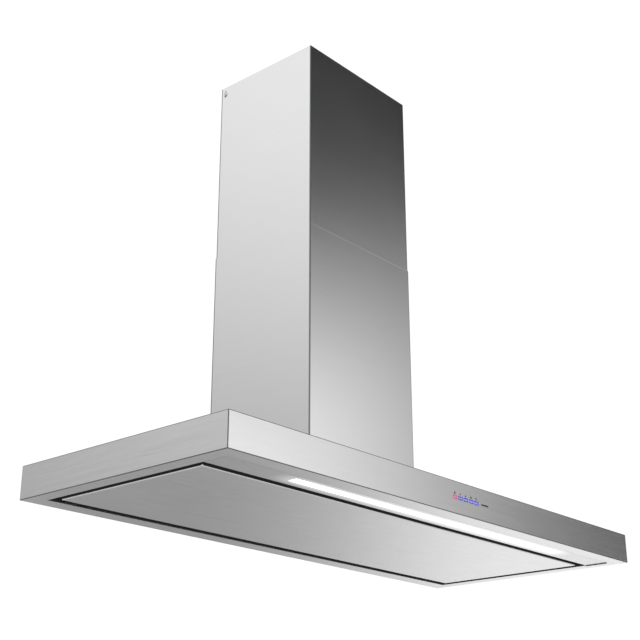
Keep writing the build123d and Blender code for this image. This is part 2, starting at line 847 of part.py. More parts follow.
def make_scroll_half(sign):
    """One half of the scroll casing: a side plate with the inlet, and half the width of the wall."""
    plane = Plane(origin=(0, 0, 0), x_dir=(0, 1, 0), z_dir=(1, 0, 0))
    outer = plane * scroll_outline(0)
    inner = plane * scroll_outline(scroll_sheet)
    with BuildPart() as half:
        extrude(to_extrude=outer, amount=sign * scroll_half_width)
        extrude(to_extrude=inner, amount=sign * (scroll_half_width - scroll_sheet), mode=Mode.SUBTRACT)
        with Locations(Location((sign * scroll_half_width, axis_y, axis_z), (0, 90, 0))):
            Cylinder(inlet_radius, 6 * scroll_sheet, mode=Mode.SUBTRACT)
        with Locations(*bush_locations(sign)):
            Cylinder(bush_hole_radius, 6 * scroll_sheet, mode=Mode.SUBTRACT)
    return half.part


bush_hole_radius = 2.2
bush_circle_radius = inlet_radius + 9.0
bush_angles = (30, 150, 270)


def bush_locations(sign, x=None):
    """Places of the three motor mounts on the side given by sign, with their Z along X."""
    at_x = sign * scroll_half_width if x is None else x
    places = []
    for angle in bush_angles if sign < 0 else ():
        y = axis_y + bush_circle_radius * cos(radians(angle))
        z = axis_z + bush_circle_radius * sin(radians(angle))
        places.append(Location((at_x, y, z), (0, 90, 0)))
    return places or [Location((0, -2 * canopy_depth, 0))]


def make_inlet_rings():
    """Bell-mouthed rings in the scroll's two inlets."""
    reach = 4.0
    inlet_flange = 2.5
    with BuildPart() as rings:
        for sign in (-1, 1):
            face_x = sign * scroll_half_width
            with BuildSketch(Plane.XY):
                with BuildLine():
                    Polyline(
                        (face_x + sign * 1.5, axis_y + inlet_radius + inlet_flange),
                        (face_x, axis_y + inlet_radius + inlet_flange),
                        (face_x, axis_y + inlet_radius - 0.1),
                        (face_x - sign * reach, axis_y + ring_throat_radius + 1.2),
                        (face_x - sign * reach, axis_y + ring_throat_radius),
                        (face_x + sign * 1.5, axis_y + inlet_radius - 1.2),
                        close=True,
                    )
                make_face()
            revolve(axis=Axis((0, axis_y, 0), (1, 0, 0)))
    return rings.part.moved(Location((0, 0, axis_z)))


# ================================================================ impeller and motor
def on_axis(part):
    """Turns a part built round Z so that it lies on the impeller's axis, with Z along X."""
    return part.moved(Location((0, axis_y, axis_z), (0, 90, 0)))


hub_radius = 13.0
hub_length = 24.0
motor_left = -6.0 - motor_length
motor_right = -6.0
motor_sheet = 2.0
rotor_radius = 22.0
air_gap = 0.5
core_start = motor_left + 22.0
core_length = motor_length - 44.0


def make_impeller():
    """Double-inlet drum with forward-curved blades, a middle disc, two end rings and a hub."""
    half = impeller_width / 2
    depth = impeller_radius - impeller_bore_radius
    with BuildPart() as drum:
        Cylinder(impeller_radius - 1, 2.0)
        for side in (-1, 1):
            with BuildSketch(Plane.XY.offset(side * half - (3.0 if side > 0 else 0.0))):
                Circle(impeller_radius)
                Circle(impeller_radius - 5, mode=Mode.SUBTRACT)
            extrude(amount=3.0)
        with BuildSketch(Plane.XY.offset(-half)):
            with PolarLocations(0, blade_count):
                with BuildLine():
                    inner_arc = ThreePointArc(
                        (impeller_bore_radius, 0),
                        (impeller_bore_radius + depth * 0.55, depth * 0.12),
                        (impeller_radius - 0.8, depth * 0.62),
                    )
                    offset(inner_arc, amount=blade_thickness, side=Side.LEFT)
                make_face()
        extrude(amount=impeller_width)
        Cylinder(hub_radius, hub_length, align=BOTTOM_UP)
        Cylinder(shaft_radius, impeller_width, mode=Mode.SUBTRACT)
    return on_axis(drum.part)


def make_motor_shell():
    """Closed motor can with a bearing seat in each end."""
    with BuildPart() as shell:
        with Locations((0, 0, motor_left)):
            Cylinder(motor_radius, motor_length, align=BOTTOM_UP)
        fillet(shell.edges(), 4.0)
        with Locations((0, 0, motor_left + motor_sheet)):
            Cylinder(motor_radius - motor_sheet, motor_length - 2 * motor_sheet, align=BOTTOM_UP, mode=Mode.SUBTRACT)
        for z in (motor_left + motor_sheet, motor_right - motor_sheet - bearing_width):
            with BuildSketch(Plane.XY.offset(z)):
                Circle(bearing_radius + 3)
                Circle(bearing_radius, mode=Mode.SUBTRACT)
            extrude(amount=bearing_width)
        with Locations((0, 0, motor_right)):
            Cylinder(shaft_radius + 1.5, 4 * motor_sheet, mode=Mode.SUBTRACT)
    return on_axis(shell.part)


def make_motor_bearings():
    with BuildPart() as bearings:
        for z in (motor_left + motor_sheet, motor_right - motor_sheet - bearing_width):
            with BuildSketch(Plane.XY.offset(z)):
                Circle(bearing_radius)
                Circle(shaft_radius + running_gap, mode=Mode.SUBTRACT)
            extrude(amount=bearing_width)
    return on_axis(bearings.part)


def make_motor_stator():
    with BuildPart() as stator:
        with BuildSketch(Plane.XY.offset(core_start)):
            Circle(motor_radius - motor_sheet)
            Circle(rotor_radius + air_gap, mode=Mode.SUBTRACT)
        extrude(amount=core_length)
        for z in (core_start - 8, core_start + core_length):
            with BuildSketch(Plane.XY.offset(z)):
                Circle(motor_radius - motor_sheet - 4)
                Circle(rotor_radius + 4, mode=Mode.SUBTRACT)
            extrude(amount=8)
    return on_axis(stator.part)


def make_motor_rotor():
    with BuildPart() as rotor:
        with BuildSketch(Plane.XY.offset(core_start)):
            Circle(rotor_radius)
            Circle(shaft_radius, mode=Mode.SUBTRACT)
        extrude(amount=core_length)
    return on_axis(rotor.part)


def make_motor_shaft():
    start = motor_left + motor_sheet + 0.5
    with BuildPart() as shaft:
        with Locations((0, 0, start)):
            Cylinder(shaft_radius, hub_length - start, align=BOTTOM_UP)
        chamfer(shaft.edges(), 0.6)
    return on_axis(shaft.part)


bush_height = 6.0
bracket_plate_x = -scroll_half_width - bush_height


def make_motor_bracket():
    """Clamp ring round the motor with three arms out to the rubber bushes."""
    arm_sheet = 2.0
    with BuildPart() as bracket:
        with BuildSketch(Plane.XY.offset(bracket_plate_x - arm_sheet)):
            Circle(motor_radius + 6)
            for angle in bush_angles:
                with Locations(Rotation(0, 0, angle)):
                    with Locations((bush_circle_radius / 2, 0)):
                        Rectangle(bush_circle_radius, 14)
                    with Locations((bush_circle_radius, 0)):
                        Circle(7)
                        Circle(bush_hole_radius, mode=Mode.SUBTRACT)
            Circle(motor_radius + 0.2, mode=Mode.SUBTRACT)
        extrude(amount=arm_sheet)
        with BuildSketch(Plane.XY.offset(bracket_plate_x - 12)):
            Circle(motor_radius + 2.2)
            Circle(motor_radius + 0.2, mode=Mode.SUBTRACT)
        extrude(amount=12)
    return turned_to_axis(bracket.part)


def turned_to_axis(part):
    """Like on_axis, with the part's X turned to the room's Y, so that angles read from +Y towards +Z."""
    plane = Plane(origin=(0, axis_y, axis_z), x_dir=(0, 1, 0), z_dir=(1, 0, 0))
    return part.moved(plane.location)


def make_rubber_bushes():
    with BuildPart() as bushes:
        with Locations(*bush_locations(-1, -scroll_half_width - bush_height / 2)):
            Cylinder(6.0, bush_height)
            Cylinder(bush_hole_radius, bush_height, mode=Mode.SUBTRACT)
        edges = bushes.edges().filter_by(GeomType.CIRCLE)
        fillet([edge for edge in edges if edge.radius > 5.0], 0.8)
    return bushes.part


capacitor_radius = 14.0
capacitor_length = 52.0
capacitor_x = -scroll_half_width - 42.0


def make_capacitor():
    with BuildPart() as capacitor:
        with Locations((capacitor_x, box_rear - inner_sheet - capacitor_radius - 0.5, canopy_height + 6)):
            Cylinder(capacitor_radius, capacitor_length, align=BOTTOM_UP)
            with Locations((0, 0, capacitor_length)):
                with GridLocations(8, 1, 2, 1):
                    Box(0.8, 5, 8, align=BOTTOM_UP)
        round_edges = capacitor.edges().filter_by(GeomType.CIRCLE)
        fillet(round_edges, 1.5)
    return capacitor.part


def make_sheet_screws():
    """Screws of the blower box flange, of the motor bracket and of the control board."""
    flange_screw = pan_screw(3.6, flange_screw_radius, 8.0)
    motor_screw = pan_screw(3.8, 2.0, bush_height + scroll_sheet + 4.0)
    board_screw = pan_screw(2.2, 1.1, 7.0)
    with BuildPart() as screws:
        with Locations(*[(x, y, canopy_height + inner_sheet) for x, y in flange_screws]):
            add(flange_screw)
        for place in bush_locations(-1, bracket_plate_x - 2.0):
            with Locations(Location(place.position, (0, -90, 0))):
                add(motor_screw)
        for x in board_posts_x:
            with Locations(Location((x, board_y + board_thickness, button_row_z), (-90, 0, 0))):
                add(board_screw)
    return screws.part


# ================================================================ outlet and dampers
collar_mid_y = outlet_mid_y - 22.0
adaptor_top = box_top + outlet_rise
flap_z = adaptor_top + 14.0
adaptor_wall = 2.0


def adaptor_body(inset):
    """Solid that blends the rectangular scroll outlet into the round collar, set in by inset."""
    with BuildPart() as body:
        with BuildSketch(Plane.XY.offset(box_top)):
            with Locations((0, outlet_mid_y)):
                RectangleRounded(2 * (scroll_half_width - inset), outlet_depth - 2 * inset, 6.0 - inset)
        with BuildSketch(Plane.XY.offset(adaptor_top)):
            with Locations((0, collar_mid_y)):
                Circle(duct_radius - inset)
        loft()
    return body.part


def make_outlet_adaptor():
    outer = adaptor_body(0)
    inner = adaptor_body(adaptor_wall)
    with BuildPart() as adaptor:
        add(outer)
        with BuildSketch(Plane.XY.offset(box_top)):
            with Locations((0, outlet_mid_y)):
                RectangleRounded(2 * scroll_half_width + 24, outlet_depth + 24, 8.0)
        extrude(amount=2.0)
        add(inner, mode=Mode.SUBTRACT)
    return adaptor.part


def make_duct_collar():
    """Plastic collar for the duct, with a spigot flange, a stop ledge and the bores of the flap pins."""
    with BuildPart() as collar:
        with BuildSketch(Plane.XY.offset(adaptor_top)):
            with Locations((0, collar_mid_y)):
                Circle(duct_radius)
                Circle(duct_radius - duct_wall, mode=Mode.SUBTRACT)
        extrude(amount=collar_height)
        with BuildSketch(Plane.XY.offset(flap_z - flap_pin_radius - 2.6)):
            with Locations((0, collar_mid_y)):
                Circle(duct_radius - duct_wall)
                Circle(duct_radius - duct_wall - 4, mode=Mode.SUBTRACT)
        extrude(amount=2.0)
        for sign in (-1, 1):
            with Locations(Location((0, collar_mid_y + sign * flap_offset, flap_z), (0, 90, 0))):
                Cylinder(flap_pin_radius + running_gap, 2 * duct_radius + 4, mode=Mode.SUBTRACT)
    return collar.part


def make_damper_flap(sign):
    """Half-round flap on the side given by sign, with its hinge pin moulded on."""
    radius = duct_radius - duct_wall - flap_gap
    hinge_at = collar_mid_y + sign * flap_offset
    pin_length = 2 * sqrt((duct_radius - 0.2) ** 2 - (flap_offset + flap_pin_radius) ** 2)
    with BuildPart() as flap:
        with BuildSketch(Plane.XY.offset(flap_z - flap_thickness / 2)):
            with Locations((0, collar_mid_y)):
                Circle(radius)
            with Locations((0, hinge_at)):
                Rectangle(
                    2 * radius, radius, align=(Align.CENTER, Align.MIN if sign > 0 else Align.MAX), mode=Mode.INTERSECT
                )
        extrude(amount=flap_thickness)
        with Locations(Location((0, hinge_at, flap_z), (0, 90, 0))):
            Cylinder(flap_pin_radius, pin_length)
        for x in (-radius / 2, 0, radius / 2):
            block(
                (x - 0.8, x + 0.8),
                (hinge_at - 0.1, hinge_at + sign * radius * 0.7) if sign > 0 else (hinge_at - radius * 0.7, hinge_at),
                (flap_z, flap_z + 2.0),
            )
    return flap.part


# ================================================================ electrics
junction_x = (box_width / 2, box_width / 2 + 30.0)
junction_half_y = 42.0
junction_low = canopy_height + 90.0
junction_high = junction_low + 84.0
junction_lid = 2.0
gland_radius = 4.0
gland_outer = 7.5
gland_y = box_mid_y + 20.0
gland_x = (junction_x[0] + junction_x[1] - junction_lid) / 2


def make_junction_box():
    wall = 2.0
    y_range = (box_mid_y - junction_half_y, box_mid_y + junction_half_y)
    with BuildPart() as box:
        block((junction_x[0], junction_x[1] - junction_lid), y_range, (junction_low, junction_high))
        fillet(box.edges().filter_by(Axis.X), 3.0)
        block(
            (junction_x[0] + wall, junction_x[1]),
            (y_range[0] + wall, y_range[1] - wall),
            (junction_low + wall, junction_high - wall),
            Mode.SUBTRACT,
        )
        with Locations((gland_x, gland_y, junction_high)):
            Cylinder(gland_outer - 1.5, 4 * wall, mode=Mode.SUBTRACT)
        with Locations((lead_hole_x, lead_hole_y, junction_low)):
            Cylinder(lead_radius + 0.3, 4 * wall, mode=Mode.SUBTRACT)
    return box.part


def make_junction_box_lid():
    y_range = (box_mid_y - junction_half_y, box_mid_y + junction_half_y)
    with BuildPart() as lid:
        block((junction_x[1] - junction_lid, junction_x[1]), y_range, (junction_low, junction_high))
        fillet(lid.edges().filter_by(Axis.X), 3.0)
        fillet(lid.faces().sort_by(Axis.X)[-1].edges(), 0.8)
    return lid.part


def make_cable_gland():
    """Bush in the top of the junction box through which the supply cable enters."""
    with BuildPart() as gland:
        with Locations((gland_x, gland_y, junction_high - 4)):
            Cylinder(gland_outer - 1.5, 4.0, align=BOTTOM_UP)
        with Locations((gland_x, gland_y, junction_high)):
            Cylinder(gland_outer, 10.0, align=BOTTOM_UP)
        fillet(gland.faces().sort_by(Axis.Z)[-1].edges(), 2.0)
        with Locations((gland_x, gland_y, junction_high)):
            Cylinder(gland_radius, 40.0, mode=Mode.SUBTRACT)
    return gland.part


def make_control_lead():
    """Lead from the control housing along the canopy and up into the junction box."""
    start = (lead_x, connector_y, button_row_z + connector_half_height)
    turn_y = deck_front + 30
    with BuildPart() as lead:
        with BuildLine():
            FilletPolyline(
                start,
                (lead_x, connector_y, lead_route_z),
                (lead_x, turn_y, lead_route_z),
                (lead_hole_x, turn_y + 84, lead_route_z),
                (lead_hole_x, lead_hole_y, lead_route_z),
                (lead_hole_x, lead_hole_y, junction_low + 12),
                radius=[8.0, 20.0, 20.0, 8.0],
            )
        with BuildSketch(Plane(start, z_dir=(0, 0, 1))):
            Circle(lead_radius)
        sweep()
    return lead.part


# ================================================================ chimney covers
def chimney_cover(width, front, back, low, high):
    """Three-sided cover, open towards the wall, with a narrow flange along each rear edge."""
    depth = back - front
    with BuildPart() as cover:
        with BuildSketch(Plane.XY.offset(low)) as outline:
            with Locations((0, (front + back) / 2)):
                Rectangle(width, depth)
                fillet(outline.vertices().group_by(Axis.Y)[0], cover_bend)
            with BuildSketch(mode=Mode.SUBTRACT) as hollow:
                with Locations((0, (front + back) / 2)):
                    Rectangle(width - 2 * cover_sheet, depth - 2 * cover_sheet)
                    fillet(hollow.vertices().group_by(Axis.Y)[0], cover_bend - cover_sheet)
            with Locations((0, back)):
                Rectangle(width - 2 * cover_flange, 4 * cover_sheet, mode=Mode.SUBTRACT)
        extrude(amount=high - low)
    return cover.part


screw_z = chimney_top - bracket_screw_drop
screw_y = wall_y - bracket_screw_inset
slot_width = 6.0
slot_length = 16.0
upper_low = split_height - upper_overlap
upper_inner_x = cover_width / 2 - cover_sheet


def make_lower_cover():
    return chimney_cover(lower_width, lower_front, wall_y, canopy_height, split_height)


def make_upper_cover():
    cover = chimney_cover(cover_width, cover_front, upper_back, upper_low, chimney_top)
    with BuildPart() as upper:
        add(cover)
        with BuildSketch(Plane.YZ):
            with Locations((screw_y - slot_width / 2, screw_z)):
                SlotOverall(slot_length, slot_width, rotation=90)
        extrude(amount=cover_width, both=True, mode=Mode.SUBTRACT)
    return upper.part


def make_upper_wall_bracket():
    """Bracket on the wall at the cover's top, stepped round the cover's rear flanges to an ear at each side."""
    plate_x = cover_width / 2 - cover_sheet - cover_flange - 4.0
    ear_x = upper_inner_x - slide_gap
    step_y = wall_y - bracket_step
    middle_z = chimney_top - 4.0 - bracket_height / 2
    with BuildPart() as bracket:
        for sign in (-1, 1):
            block(
                sorted((sign * (plate_x - bracket_sheet), sign * plate_x)),
                (step_y, wall_y),
                (middle_z - bracket_height / 2, middle_z + bracket_height / 2),
            )
            block(
                sorted((sign * (plate_x - bracket_sheet), sign * ear_x)),
                (step_y, step_y + bracket_sheet),
                (middle_z - bracket_height / 2, middle_z + bracket_height / 2),
            )
            block(
                sorted((sign * (ear_x - bracket_sheet), sign * ear_x)),
                (step_y, upper_back - cover_sheet - 1.0),
                (middle_z - bracket_height / 2, middle_z + bracket_height / 2),
            )
        block(
            (-plate_x, plate_x),
            (wall_y - bracket_sheet, wall_y),
            (middle_z - bracket_height / 2, middle_z + bracket_height / 2),
        )
        with BuildSketch(Plane.XZ.offset(-wall_y)):
            with Locations(*[(sign * bracket_hole_spacing / 2, middle_z) for sign in (-1, 1)]):
                Circle(wall_hole_radius)
        extrude(amount=3 * bracket_sheet, both=True, mode=Mode.SUBTRACT)
        with Locations(Location((0, screw_y - slot_width / 2, screw_z), (0, 90, 0))):
            Cylinder(2.0 + screw_gap, 2 * cover_width, mode=Mode.SUBTRACT)
    return bracket.part


def make_cover_screws():
    screw = pan_screw(4.2, 2.0, 8.0)
    with BuildPart() as screws:
        for sign in (-1, 1):
            place = Location((sign * cover_width / 2, screw_y - slot_width / 2, screw_z), (0, sign * 90, 0))
            with Locations(place):
                add(screw)
    return screws.part


def make_cover_locators():
    """Angle pieces on the canopy that keep the lower cover in place."""
    upright_x = lower_width / 2 - cover_sheet - 0.5
    with BuildPart() as locators:
        for sign in (-1, 1):
            for y in (lower_front + 40, wall_y - 50):
                block(
                    sorted((sign * (upright_x - 16), sign * upright_x)),
                    (y - 12, y + 12),
                    (canopy_height, canopy_height + 1.2),
                )
                block(
                    sorted((sign * (upright_x - 1.2), sign * upright_x)),
                    (y - 12, y + 12),
                    (canopy_height, canopy_height + 14),
                )
    return locators.part


# ================================================================ build and export
def main():
    os.makedirs("parts", exist_ok=True)
    pieces = {
        "canopy_shell": make_canopy_shell(),
        "canopy_top": make_canopy_top(),
        "light_panel": make_light_panel(),
        "led_channel": make_led_channel(),
        "led_diffuser": make_led_diffuser(),
        "led_board": make_led_board(),
        "led_driver": make_led_driver(),
        "filter_deck": make_filter_deck(),
        "plenum_walls": make_plenum_walls(),
        "filter_rails": make_filter_rails(),
        "suction_panel": make_suction_panel(),
        "panel_stiffeners": make_panel_stiffeners(),
        "panel_hinge_arms": make_panel_hinge_arms(),
        "strike_plates": make_strike_plates(),
        "magnet_catches": make_magnet_catches(),
        "hinge_brackets": make_hinge_brackets(),
        "control_housing": make_control_housing(),
        "control_board": make_control_board(),
        "light_ring_red": make_light_rings(control_opening_x[:1]),
        "light_rings_blue": make_light_rings(control_opening_x[1:]),
        "receiver_window": make_receiver_window(),
        "blower_box": make_blower_box(),
        "wall_hooks": make_wall_hooks(),
        "scroll_left": make_scroll_half(-1),
        "scroll_right": make_scroll_half(1),
        "inlet_rings": make_inlet_rings(),
        "impeller": make_impeller(),
        "motor_shell": make_motor_shell(),
        "motor_bearings": make_motor_bearings(),
        "motor_stator": make_motor_stator(),
        "motor_rotor": make_motor_rotor(),
        "motor_shaft": make_motor_shaft(),
        "motor_bracket": make_motor_bracket(),
        "rubber_bushes": make_rubber_bushes(),
        "capacitor": make_capacitor(),
        "sheet_screws": make_sheet_screws(),
        "outlet_adaptor": make_outlet_adaptor(),
        "duct_collar": make_duct_collar(),
        "damper_flap_front": make_damper_flap(-1),
        "damper_flap_rear": make_damper_flap(1),
        "junction_box": make_junction_box(),
        "junction_box_lid": make_junction_box_lid(),
        "cable_gland": make_cable_gland(),
        "control_lead": make_control_lead(),
        "lower_cover": make_lower_cover(),
        "upper_cover": make_upper_cover(),
        "upper_wall_bracket": make_upper_wall_bracket(),
        "cover_screws": make_cover_screws(),
        "cover_locators": make_cover_locators(),
    }
    for index, x in enumerate(control_opening_x):
        pieces[f"button_{index + 1}"] = make_button(x)
    for side, x in zip(("left", "right"), filter_x):
        pieces[f"grease_filter_frame_{side}"] = make_filter_frame(x)
        pieces[f"grease_filter_mesh_{side}"] = make_filter_mesh(x)
        pieces[f"filter_latch_{side}"] = make_filter_latch(x)
    for name, part in pieces.items():
        save(part, name)


main()
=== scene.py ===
"""Looks of the wall-mounted range hood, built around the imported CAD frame."""

import json
import math

import bmesh
import bpy
from mathutils import Euler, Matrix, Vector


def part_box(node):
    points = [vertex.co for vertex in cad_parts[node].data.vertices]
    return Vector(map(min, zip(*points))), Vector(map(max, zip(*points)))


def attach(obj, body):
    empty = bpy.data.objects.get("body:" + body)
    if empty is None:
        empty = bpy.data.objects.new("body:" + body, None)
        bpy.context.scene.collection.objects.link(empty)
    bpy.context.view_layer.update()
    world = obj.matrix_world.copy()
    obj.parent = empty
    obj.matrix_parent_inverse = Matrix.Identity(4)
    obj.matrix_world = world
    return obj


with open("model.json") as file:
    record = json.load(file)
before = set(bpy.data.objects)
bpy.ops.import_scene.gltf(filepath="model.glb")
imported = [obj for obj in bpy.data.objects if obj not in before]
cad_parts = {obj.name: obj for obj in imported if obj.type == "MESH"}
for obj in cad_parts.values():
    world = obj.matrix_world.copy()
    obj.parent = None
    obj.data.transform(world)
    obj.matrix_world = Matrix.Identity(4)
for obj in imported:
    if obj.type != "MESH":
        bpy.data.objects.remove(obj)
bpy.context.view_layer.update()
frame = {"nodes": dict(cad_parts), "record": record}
scene = bpy.context.scene


# ---------------------------------------------------------------- camera

CAMERA_PLACE = (-1.816, -1.491, -0.485)
CAMERA_TURN = (111.56, 0.0, -48.84)  # degrees
CAMERA_LENS = 69.42  # mm
SENSOR_WIDTH = 36.0  # mm
VIEW_REACH = 200.0

camera_data = bpy.data.cameras.new("camera")
camera_data.lens = CAMERA_LENS
camera_data.sensor_width = SENSOR_WIDTH
camera_data.clip_end = VIEW_REACH
camera = bpy.data.objects.new("camera", camera_data)
camera.location = CAMERA_PLACE
camera.rotation_euler = Euler([math.radians(a) for a in CAMERA_TURN])
scene.collection.objects.link(camera)
scene.camera = camera

scene.view_settings.view_transform = "Standard"
scene.view_settings.look = "None"


# ---------------------------------------------------------------- node helper


class Net:
    """Adds nodes to a node tree and feeds their inputs in one call."""

    def __init__(self, tree):
        self.tree = tree

    def feed(self, socket, value):
        if isinstance(value, bpy.types.NodeSocket):
            self.tree.links.new(value, socket)
        elif value is not None:
            socket.default_value = value

    def add(self, kind, *inputs, **settings):
        node = self.tree.nodes.new(kind)
        for name, value in settings.items():
            setattr(node, name, value)
        for socket, value in zip(node.inputs, inputs):
            self.feed(socket, value)
        return node

    def math(self, operation, *inputs):
        return self.add("ShaderNodeMath", *inputs, operation=operation).outputs[0]

    def vector(self, operation, *inputs):
        node = self.add("ShaderNodeVectorMath", *inputs, operation=operation)
        return node.outputs[0]

    def split(self, vector):
        return self.add("ShaderNodeSeparateXYZ", vector).outputs

    def smooth(self, value, low, high, at_low=0.0, at_high=1.0):
        """at_low below low, at_high above high, and an even curve between."""
        node = self.add(
            "ShaderNodeMapRange",
            value,
            low,
            high,
            at_low,
            at_high,
            interpolation_type="SMOOTHSTEP",
        )
        return node.outputs[0]

    def band(self, value, rise, top, fall, end):
        """0 outside rise..end, 1 between top and fall."""
        up = self.smooth(value, rise, top)
        down = self.smooth(value, fall, end, 1.0, 0.0)
        return self.math("MULTIPLY", up, down)

    def noise(self, place, scale, detail=2.0, rough=0.5):
        node = self.add("ShaderNodeTexNoise")
        self.feed(node.inputs["Vector"], place)
        node.inputs["Scale"].default_value = scale
        node.inputs["Detail"].default_value = detail
        node.inputs["Roughness"].default_value = rough
        return node.outputs["Fac"]

    def blend(self, share, first, second):
        node = self.add("ShaderNodeMix", data_type="FLOAT")
        self.feed(node.inputs[0], share)
        self.feed(node.inputs[2], first)
        self.feed(node.inputs[3], second)
        return node.outputs[0]

    def tint(self, share, first, second):
        node = self.add("ShaderNodeMix", data_type="RGBA")
        self.feed(node.inputs[0], share)
        self.feed(node.inputs[6], (*first, 1.0) if isinstance(first, tuple) else first)
        self.feed(
            node.inputs[7], (*second, 1.0) if isinstance(second, tuple) else second
        )
        return node.outputs[2]

    def grey(self, value):
        return self.add("ShaderNodeCombineColor", value, value, value).outputs[0]

    def bump(self, height, distance, strength=1.0):
        node = self.add("ShaderNodeBump")
        node.inputs["Strength"].default_value = strength
        node.inputs["Distance"].default_value = distance
        self.feed(node.inputs["Height"], height)
        return node.outputs[0]


# ---------------------------------------------------------------- studio


# Soft-edged patches of the world. The bounds of a patch are degrees round the
# vertical axis, then degrees above the horizon, each as (rise, top, fall, end).
# The last number is the share of the light that it takes away, or adds.
HIGH_PANEL = ((-82.0, -60.0, -14.0, 15.0), (15.5, 29.5, 58.0, 80.0), 0.965)
LOW_PANEL = ((-43.5, -26.5, -12.0, 8.0), (0.5, 6.0, 30.0, 56.0), 0.93)
BRIGHT_PANEL = ((-78.0, -56.0, -48.0, -36.0), (-5.0, 8.0, 15.0, 23.0), 0.34)
DIM_FRONT = ((-135.0, -100.0, -86.0, -63.0), (-40.0, -12.0, 22.0, 50.0), 0.34)
LEFT_WALL = (106.0, 121.0, 141.0, 163.0)
DIM_CORNER = (34.0, 46.0, 58.0, 72.0)
DIM_CORNER_LOSS = 0.64


def darken(net, level, share, loss):
    return net.math("MULTIPLY", level, net.math("MULTIPLY_ADD", share, -loss, 1.0))


def make_world():
    """A white studio that isn't plain: soft dark and bright patches give the
    steel its gradients."""
    world = bpy.data.worlds.new("studio")
    world.use_nodes = True
    net = Net(world.node_tree)
    world.node_tree.nodes.clear()
    towards = net.add("ShaderNodeTexCoord").outputs["Generated"]
    x, y, z = net.split(towards)
    degrees = 180.0 / math.pi
    turn = net.math("MULTIPLY", net.math("ARCTAN2", y, x), degrees)
    rise = net.math("MULTIPLY", net.math("ARCSINE", z), degrees)

    def patch(across, up):
        return net.math("MULTIPLY", net.band(turn, *across), net.band(rise, *up))

    level = net.smooth(rise, -8.0, 8.0, 0.92, 1.04)
    # the high and the low dark panel on the right
    for across, up, loss in (HIGH_PANEL, LOW_PANEL):
        level = darken(net, level, patch(across, up), loss)
    # the left wall, brighter towards its top and its front
    shade = net.smooth(rise, 9.0, 35.0, 0.53, 1.10)
    shade = net.math("MULTIPLY", shade, net.smooth(turn, 118.0, 137.0, 0.76, 1.0))
    wall = net.blend(net.band(turn, *LEFT_WALL), 1.0, shade)
    level = net.math("MULTIPLY", level, wall)
    # the bright panel in front
    across, up, gain = BRIGHT_PANEL
    level = net.math("ADD", level, net.math("MULTIPLY", patch(across, up), gain))
    # the front of the room, a little dimmer low down
    across, up, loss = DIM_FRONT
    level = darken(net, level, patch(across, up), loss)
    # the dim corner behind, at and below the horizon
    low_down = net.smooth(rise, -1.0, 6.5, 1.0, 0.0)
    corner = net.math("MULTIPLY", net.band(turn, *DIM_CORNER), low_down)
    level = darken(net, level, corner, DIM_CORNER_LOSS)

    ground = net.add("ShaderNodeBackground", net.grey(level), 1.0)
    net.add("ShaderNodeOutputWorld", ground.outputs[0])
    scene.world = world


FLOOR_Z = -1.6
FLOOR_REACH = 60.0
SECTORS_FROM = (2.6, 4.6)  # m from the middle, where the two sectors fade in
# each sector's bounds in degrees round the vertical axis, and its tone: a painted light
# sector and a painted shade sector far out
PAINTED_LIGHT_SECTOR = ((-12.0, 18.0, 28.0, 46.0), 0.93)
PAINTED_SHADE_SECTOR = ((30.0, 51.0, 58.0, 67.0), 0.29)


def make_floor():
    """A round floor with painted shade: darker near the middle and paler far away, with
    a painted pale light sector and a painted grey shade sector far out, for the steel
    to reflect.
    """
    mesh = bpy.data.meshes.new("floor")
    shape = bmesh.new()
    bmesh.ops.create_circle(shape, cap_ends=True, segments=96, radius=FLOOR_REACH)
    shape.to_mesh(mesh)
    shape.free()
    floor = bpy.data.objects.new("floor", mesh)
    floor.location = (0.0, 0.0, FLOOR_Z)
    scene.collection.objects.link(floor)
    material = bpy.data.materials.new("floor_paint")
    material.use_nodes = True
    net = Net(material.node_tree)
    paint = material.node_tree.nodes["Principled BSDF"]
    place = net.add("ShaderNodeTexCoord").outputs["Object"]
    x, y = net.split(place)[:2]
    away = net.add("ShaderNodeVectorMath", place, operation="LENGTH").outputs["Value"]
    turn = net.math("MULTIPLY", net.math("ARCTAN2", y, x), 180.0 / math.pi)
    far = net.smooth(away, *SECTORS_FROM)
    # painted shade: the floor darker near the middle, paler far away
    tone = net.smooth(away, 3.5, 20.0, 0.62, 0.84)
    tone = net.math("ADD", tone, net.smooth(away, 14.0, 50.0, 0.0, 0.12))
    for bounds, sector_tone in (PAINTED_LIGHT_SECTOR, PAINTED_SHADE_SECTOR):
        share = net.math("MULTIPLY", net.band(turn, *bounds), far)
        tone = net.blend(share, tone, sector_tone)
    net.feed(paint.inputs["Base Color"], net.grey(tone))
    paint.inputs["Roughness"].default_value = 0.9
    paint.inputs["Specular IOR Level"].default_value = 0.1
    mesh.materials.append(material)


def make_lights():
    """One wide soft light from straight above."""
    data = bpy.data.lights.new("ceiling_light", "SUN")
    data.energy = 0.7
    data.angle = math.radians(50.0)
    lamp = bpy.data.objects.new("ceiling_light", data)
    lamp.location = (0.0, 0.0, 4.0)
    scene.collection.objects.link(lamp)


# ---------------------------------------------------------------- materials

LED_Y = -0.195  # middle line of the light strip
LED_HALF = 0.4  # half its length
GLOW_FADE = (0.006, 0.028)  # from the middle line
GLOW_ENDS = (-0.03, 0.05)  # before and past the strip's end
GLOW_DEPTH = 0.003
GLOW_STRENGTH = 0.36
SIDE_FACING = 0.7  # a face whose normal leans further to X is a side face


def new_material(name):
    material = bpy.data.materials.new(name)
    material.use_nodes = True
    net = Net(material.node_tree)
    net.paint = material.node_tree.nodes["Principled BSDF"]
    net.place = net.add("ShaderNodeTexCoord").outputs["Object"]
    return material, net


def put(net, name, value):
    net.feed(net.paint.inputs[name], value)


